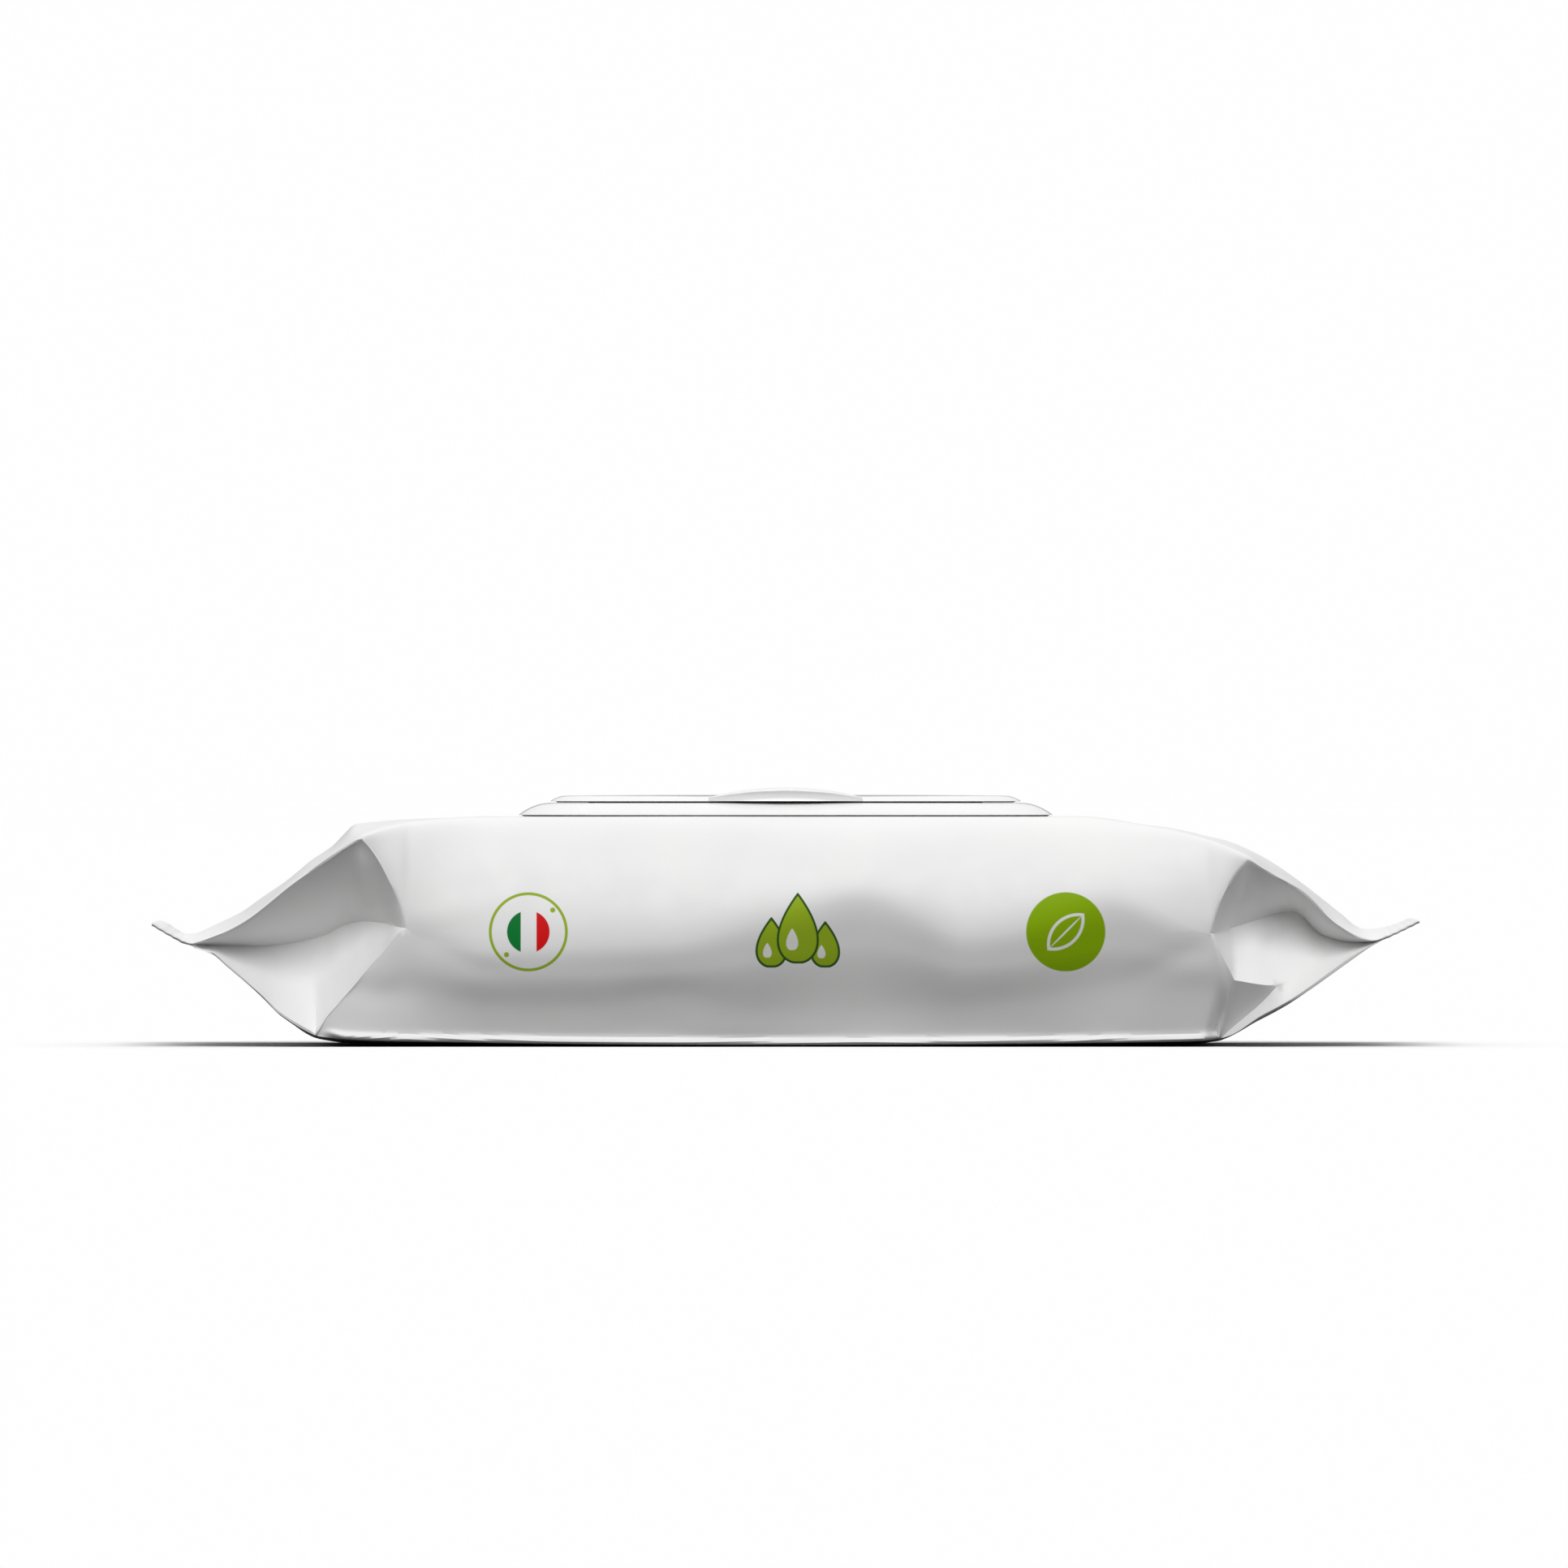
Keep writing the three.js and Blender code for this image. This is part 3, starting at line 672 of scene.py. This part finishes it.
def lip_rings():
    """The thumb lip, in slices along X: a rising top, a rounded crest and a slightly hollow front."""
    edge = -lid_width / 2
    root_top, root_bottom = lid_top - lid_thickness / 4, lid_bottom + 0.06
    rings = []
    for place in np.sin(np.linspace(-math.pi / 2, math.pi / 2, 49)):
        swell = max(0.03, 1 - place * place)
        front = edge - lip_reach * swell
        crest = root_top + (lid_top + lip_rise - root_top) * swell
        run, drop, hollow = crest_run * swell ** 0.5, crest_drop * swell ** 0.5, lip_hollow * swell
        t = np.linspace(0, 1, 15)
        back = edge + lip_root
        sweep = np.stack([back + (front + run - back) * t, root_top + (crest - root_top) * t ** 1.7], axis=1)
        turn = np.radians(np.linspace(90, 180, 12))[1:]
        nose = np.stack([front + run + run * np.cos(turn), crest - drop + drop * np.sin(turn)], axis=1)
        height = nose[-1][1] - root_bottom
        scoop = bezier([
            nose[-1], (front + hollow, nose[-1][1] - 0.3 * height),
            (front + hollow, root_bottom + 0.3 * height), (front + 0.1, root_bottom),
        ], 10)[1:]
        floor = np.array([(back, root_bottom)])
        rings.append(slice_at(place * lip_length / 2, np.concatenate([sweep, nose, scoop, floor])))
    return rings


def build_lid(material):
    opening = (opening_length, opening_width, opening_corner)
    inner, outer = rim_wall + plug_gap, rim_wall + plug_gap + plug_wall
    plug_end = deck + plug_gap
    rings = [
        inset_outline(opening, -inner, lid_bottom), inset_outline(opening, -inner, plug_end),
        inset_outline(opening, -outer, plug_end), inset_outline(opening, -outer, lid_bottom),
    ]
    size = (lid_length, lid_width, lid_corner)
    for inset, share in skirt_shape:
        rings.append(inset_outline(size, inset, lid_bottom - share * skirt_drop))
    rings += edge_rings(size, lid_edge_run, lid_bottom, lid_thickness)
    for inset in crown_insets:
        rise = crown_rise * (1 - ((crown_reach - inset) / crown_reach) ** 2)
        reach = lid_edge_run + inset
        corner = max(lid_corner - reach, 1.0)
        rings.append(rounded_outline(lid_length - 2 * reach, lid_width - 2 * reach, corner, lid_top + rise))
    piece = make_mesh("flip_lid_moulding", rings)
    soften(piece, lid_rounding)
    combine(piece, make_mesh("lip", lip_rings()), "UNION")
    settle(piece, "flip_lid", material, crease_angle=30)
    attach(piece, "lid")


def build_web(material):
    """The living hinge: a strip bent into a C between the frame and the lid."""
    outer = (web_high[2] - web_low[2]) / 2
    inner = outer - web_wall
    axis_y, axis_z = web_high[1] - outer, (web_high[2] + web_low[2]) / 2
    turn = np.radians(np.linspace(-90, 90, 25))
    lower_leg, upper_leg = -0.8, -0.28
    loop = [(lower_leg, -outer)]
    loop += [(outer * math.cos(a), outer * math.sin(a)) for a in turn]
    loop += [(upper_leg, outer), (upper_leg, inner)]
    loop += [(inner * math.cos(a), inner * math.sin(a)) for a in turn[::-1]]
    loop += [(lower_leg, -inner)]
    section = np.array(loop) + np.array([axis_y, axis_z])
    slices = 31
    rings = [slice_at(x, section) for x in np.linspace(web_low[0], web_high[0], slices)]
    piece = make_mesh("living_hinge_web", rings)
    settle(piece, "living_hinge", material)
    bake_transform(piece)


# Materials

def add_node(tree, kind, inputs=(), **settings):
    """A shader node. Its inputs are sockets to link or plain values, by name or number."""
    node = tree.nodes.new(kind)
    for key, value in settings.items():
        setattr(node, key, value)
    for key, value in dict(inputs).items():
        if isinstance(value, bpy.types.NodeSocket):
            tree.links.new(value, node.inputs[key])
        else:
            node.inputs[key].default_value = value
    return node


def math_node(tree, operation, *values):
    return add_node(tree, "ShaderNodeMath", dict(enumerate(values)), operation=operation).outputs[0]


def noise(tree, place, scale, detail=3.0, roughness=0.5):
    inputs = {"Vector": place, "Scale": scale, "Detail": detail, "Roughness": roughness}
    return add_node(tree, "ShaderNodeTexNoise", inputs).outputs["Fac"]


def spread(tree, value, low, high):
    """Stretches a noise from its usual range to low..high."""
    inputs = {"Value": value, "From Min": 0.3, "From Max": 0.7, "To Min": low, "To Max": high}
    return add_node(tree, "ShaderNodeMapRange", inputs).outputs[0]


def colour_mix(tree, share, first, second):
    inputs = {0: share, 6: first, 7: second}
    return add_node(tree, "ShaderNodeMix", inputs, data_type="RGBA").outputs[2]


def new_material(name):
    material = bpy.data.materials.new(name)
    material.use_nodes = True
    tree = material.node_tree
    surface = tree.nodes["Principled BSDF"]
    place = add_node(tree, "ShaderNodeTexCoord").outputs["Object"]
    return material, tree, surface, place


def set_bump(tree, surface, heights):
    """Chains bumps, each a height socket, a depth in metres and a strength."""
    normal = None
    for height, depth, strength in heights:
        inputs = {"Height": height, "Distance": depth, "Strength": strength}
        if normal is not None:
            inputs["Normal"] = normal
        normal = add_node(tree, "ShaderNodeBump", inputs).outputs[0]
    tree.links.new(normal, surface.inputs["Normal"])


class Print:
    """Flat shapes printed on the front side, as masks worked out from X and Z in metres."""

    def __init__(self, tree, place):
        self.tree = tree
        parts = add_node(tree, "ShaderNodeSeparateXYZ", {0: place})
        self.x, self.y, self.z = parts.outputs

    def calc(self, operation, *values):
        return math_node(self.tree, operation, *values)

    def offset(self, x, z):
        return self.calc("SUBTRACT", self.x, x * MM), self.calc("SUBTRACT", self.z, z * MM)

    def edge(self, distance, limit, softness=0.08):
        """1 where a distance is under the limit, with a soft edge as fine as ink on film."""
        inputs = {
            "Value": distance, "From Min": (limit + softness) * MM, "From Max": (limit - softness) * MM,
        }
        return add_node(self.tree, "ShaderNodeMapRange", inputs).outputs[0]

    def distance(self, x, z):
        right, up = self.offset(x, z)
        squares = self.calc("ADD", self.calc("MULTIPLY", right, right), self.calc("MULTIPLY", up, up))
        return self.calc("SQRT", squares)

    def disc(self, x, z, radius):
        return self.edge(self.distance(x, z), radius)

    def ring(self, x, z, radius, half_line):
        off_line = self.calc("ABSOLUTE", self.calc("SUBTRACT", self.distance(x, z), radius * MM))
        return self.edge(off_line, half_line)

    def leaf(self, x, z, lean, radius, gap):
        """A pointed oval, where two discs overlap, leaning by a slope."""
        first = self.distance(x - gap, z + gap * lean)
        second = self.distance(x + gap, z - gap * lean)
        return self.edge(self.calc("MAXIMUM", first, second), radius)

    def drop(self, x, z, half, height, grow):
        """A water drop: round below and pointed above."""
        right, up = self.offset(x, z - height / 2 - grow)
        fullness = 2.6  # makes the widest part as wide as asked
        tall = height + fullness * grow
        share = self.calc("DIVIDE", up, tall * MM)
        share = self.calc("MINIMUM", self.calc("MAXIMUM", share, 0.0), 1.0)
        swell = self.calc("MULTIPLY", self.calc("SQRT", share), self.calc("SUBTRACT", 1.0, share))
        limit = self.calc("MULTIPLY", swell, (half + grow) * fullness * MM)
        shape = self.edge(self.calc("SUBTRACT", self.calc("ABSOLUTE", right), limit), 0.0)
        middle = self.calc("ABSOLUTE", self.calc("SUBTRACT", up, tall / 2 * MM))
        return self.both(shape, self.edge(middle, tall / 2 - 0.1))

    def band(self, x, low, high):
        """1 between two places along X, measured from x."""
        right = self.calc("SUBTRACT", self.x, x * MM)
        past_low = self.calc("SUBTRACT", 1.0, self.edge(right, low))
        return self.both(self.edge(right, high), past_low)

    def both(self, first, second):
        return self.calc("MULTIPLY", first, second)


leaf_green = (0.004, 0.20, 0.035, 1)
lime = (0.33, 0.48, 0.02, 1)
olive_green = (0.27, 0.46, 0.004, 1)
dark_green = (0.035, 0.10, 0.015, 1)
flag_red = (0.72, 0.008, 0.01, 1)
ink_white = (0.86, 0.87, 0.82, 1)
film_gloss, ink_gloss = 0.3, 0.06
print_height, print_side = 22.7, -30.0  # the prints' middle line, and the y that they lie in front of
ring_place, drops_place, leaf_place = -50.7, 2.4, 55.2
badge_radius, disc_radius, dot_radius = 7.8, 4.2, 0.5
ring_line, drop_line = 0.28, 0.45
drop_shapes = ((-5.2, -2.2, 2.7, 9.0), (5.4, -2.6, 2.5, 8.2), (0.0, 0.6, 3.7, 13.0))  # x, z, half, height


def film_material():
    material, tree, surface, place = new_material("satin_film")
    cloud = noise(tree, place, 55.0, 4.0)
    colour = colour_mix(tree, spread(tree, cloud, 0.0, 1.0), (0.865, 0.868, 0.865, 1), (0.90, 0.90, 0.895, 1))
    ink = Print(tree, place)
    front = ink.edge(ink.y, print_side)
    z = print_height
    shapes = [
        (ink.ring(ring_place, z, badge_radius - 0.3, ring_line), lime),
        (ink.both(ink.disc(ring_place, z, disc_radius), ink.band(ring_place, -9, -1.5)), leaf_green),
        (ink.both(ink.disc(ring_place, z, disc_radius), ink.band(ring_place, 1.6, 9)), flag_red),
        (ink.disc(ring_place + 4.8, z + 4.3, dot_radius), lime),
        (ink.disc(ring_place - 4.3, z - 4.5, dot_radius), lime),
    ]
    for shift, rise, half, height in drop_shapes:
        x = drops_place + shift
        shapes.append((ink.drop(x, z + rise, half, height, drop_line), dark_green))
        shapes.append((ink.drop(x, z + rise, half, height, 0.0), lime))
        glint = ink.drop(x - half * 0.3, z + rise - height * 0.16, half * 0.32, height * 0.34, 0.0)
        shapes.append((glint, ink_white))
    shapes += [
        (ink.disc(leaf_place, z, badge_radius), olive_green),
        (ink.leaf(leaf_place, z, 1.0, 6.2, 2.5), ink_white),
        (ink.leaf(leaf_place, z, 1.0, 5.6, 2.5), olive_green),
        (ink.leaf(leaf_place, z, 1.0, 60.3, 42.5), ink_white),
    ]
    inked = 0.0
    for mask, tint in shapes:
        here = ink.both(mask, front)
        colour = colour_mix(tree, here, colour, tint)
        inked = ink.calc("MAXIMUM", inked, here)
    tree.links.new(colour, surface.inputs["Base Color"])
    lost_gloss = ink.calc("MULTIPLY", inked, film_gloss - ink_gloss)
    gloss = ink.calc("SUBTRACT", film_gloss, lost_gloss)
    tree.links.new(gloss, surface.inputs["Specular IOR Level"])
    tree.links.new(spread(tree, noise(tree, place, 160.0), 0.36, 0.5), surface.inputs["Roughness"])
    set_bump(tree, surface, [
        (noise(tree, place, 1400.0, 2.0), 0.00004, 0.12),
        (noise(tree, place, 90.0, 3.0), 0.0006, 0.10),
    ])
    return material


def moulding_material():
    material, tree, surface, place = new_material("white_polypropylene")
    cloud = noise(tree, place, 70.0, 4.0)
    tree.links.new(
        colour_mix(tree, spread(tree, cloud, 0.0, 1.0), (0.86, 0.862, 0.86, 1), (0.895, 0.895, 0.89, 1)),
        surface.inputs["Base Color"],
    )
    tree.links.new(spread(tree, noise(tree, place, 420.0), 0.12, 0.18), surface.inputs["Roughness"])
    set_bump(tree, surface, [(noise(tree, place, 60.0, 2.0), 0.0003, 0.01)])
    return material


def bond_material():
    material, tree, surface, place = new_material("hot_melt")
    cloud = noise(tree, place, 240.0, 4.0)
    tree.links.new(
        colour_mix(tree, spread(tree, cloud, 0.0, 1.0), (0.42, 0.40, 0.34, 1), (0.58, 0.55, 0.46, 1)),
        surface.inputs["Base Color"],
    )
    tree.links.new(spread(tree, noise(tree, place, 500.0), 0.3, 0.5), surface.inputs["Roughness"])
    set_bump(tree, surface, [(noise(tree, place, 700.0, 3.0), 0.0001, 0.4)])
    return material


def wipes_material():
    material, tree, surface, place = new_material("damp_nonwoven")
    cloud = noise(tree, place, 130.0, 5.0)
    tree.links.new(
        colour_mix(tree, spread(tree, cloud, 0.0, 1.0), (0.80, 0.81, 0.80, 1), (0.90, 0.90, 0.88, 1)),
        surface.inputs["Base Color"],
    )
    tree.links.new(spread(tree, cloud, 0.55, 0.8), surface.inputs["Roughness"])
    surface.inputs["Sheen Weight"].default_value = 0.15
    fibres = noise(tree, place, 2200.0, 6.0, 0.7)
    dimples = add_node(tree, "ShaderNodeTexVoronoi", {"Vector": place, "Scale": 420.0}).outputs["Distance"]
    set_bump(tree, surface, [(dimples, 0.0006, 0.5), (fibres, 0.0003, 0.6)])
    return material


# Camera, light and floor

near_plane = -52.5  # mm, where the photo's scale was measured
pixel = 0.160  # mm of that plane in one pixel of the photo
photo_size = 1932
middle_shift = -2  # pixels from the pack's middle to the photo's
ground_row, level_row = 1290, 966
camera_distance = 6000.0
sensor_width = 36
# Shares of a white floor's brightness
overhead_share, front_share, back_share, sky_share = 0.02, 0.47, 0.11, 0.60
floor_white, floor_bounce = 0.98, 0.12  # the floor as it is seen, and as it lights the pack
horizon_share = 0.08  # how bright the sky is at its lowest, against straight up
sky_on_floor = sky_share * (horizon_share + 2 * (1 - horizon_share) / 3)
# As bright as the floor, so that no line shows where they meet
backdrop = floor_white * (overhead_share + front_share + back_share + sky_on_floor)


def build_camera():
    data = bpy.data.cameras.new("camera")
    data.sensor_width = sensor_width
    data.lens = sensor_width * (camera_distance + near_plane) / pixel / photo_size
    data.clip_end = 100
    camera = bpy.data.objects.new("camera", data)
    level = (ground_row - level_row) * pixel
    camera.location = (middle_shift * pixel * MM, -camera_distance * MM, level * MM)
    camera.rotation_euler = (math.radians(90), 0, 0)
    bpy.context.collection.objects.link(camera)
    bpy.context.scene.camera = camera


def build_light():
    # elevation from the front and softness, in degrees
    for name, elevation, share, softness in (
        ("overhead", 84, overhead_share, 50), ("front", 48, front_share, 40), ("back", 140, back_share, 60),
    ):
        data = bpy.data.lights.new(name, "SUN")
        data.energy = math.pi * share / math.sin(math.radians(elevation))
        data.angle = math.radians(softness)
        lamp = bpy.data.objects.new(name, data)
        lamp.rotation_euler = (math.radians(90 - elevation), 0, 0)
        bpy.context.collection.objects.link(lamp)

    world = bpy.data.worlds.new("studio")
    world.use_nodes = True
    bpy.context.scene.world = world
    tree = world.node_tree
    path = add_node(tree, "ShaderNodeLightPath")
    seen = math_node(tree, "MAXIMUM", path.outputs["Is Camera Ray"], path.outputs["Is Transmission Ray"])
    sky = tree.nodes["Background"]
    sky.inputs["Color"].default_value = (1, 1, 1, 1)
    way = add_node(tree, "ShaderNodeTexCoord").outputs["Generated"]
    height = add_node(tree, "ShaderNodeSeparateXYZ", {0: way}).outputs["Z"]
    inputs = {"Value": height, "From Max": 1.0, "To Min": sky_share * horizon_share, "To Max": sky_share}
    tree.links.new(add_node(tree, "ShaderNodeMapRange", inputs).outputs[0], sky.inputs["Strength"])
    white = add_node(tree, "ShaderNodeBackground", {"Color": (1, 1, 1, 1), "Strength": backdrop})
    mixed = add_node(tree, "ShaderNodeMixShader", {0: seen, 1: sky.outputs[0], 2: white.outputs[0]})
    tree.links.new(mixed.outputs[0], tree.nodes["World Output"].inputs[0])


def build_floor():
    reach = 60.0  # metres
    mesh = bpy.data.meshes.new("floor")
    made = bmesh.new()
    bmesh.ops.create_grid(made, x_segments=8, y_segments=8, size=reach)
    made.to_mesh(mesh)
    made.free()
    floor = bpy.data.objects.new("floor", mesh)
    bpy.context.collection.objects.link(floor)
    material = bpy.data.materials.new("pale_floor")
    material.use_nodes = True
    tree = material.node_tree
    tree.nodes.remove(tree.nodes["Principled BSDF"])
    path = add_node(tree, "ShaderNodeLightPath")
    grey = add_node(tree, "ShaderNodeBsdfDiffuse", {"Color": (floor_bounce,) * 3 + (1,)})
    white = add_node(tree, "ShaderNodeBsdfDiffuse", {"Color": (floor_white,) * 3 + (1,)})
    seen = math_node(tree, "MAXIMUM", path.outputs["Is Camera Ray"], path.outputs["Is Glossy Ray"])
    shown = add_node(tree, "ShaderNodeMixShader", {0: seen, 1: grey.outputs[0], 2: white.outputs[0]})
    tree.links.new(shown.outputs[0], tree.nodes["Material Output"].inputs[0])
    mesh.materials.append(material)


moulding = moulding_material()
build_film(film_material())
build_wipes(wipes_material())
build_bond(bond_material())
build_frame(moulding)
build_web(moulding)
build_lid(moulding)
build_camera()
build_light()
build_floor()
bpy.context.scene.view_settings.view_transform = "Standard"
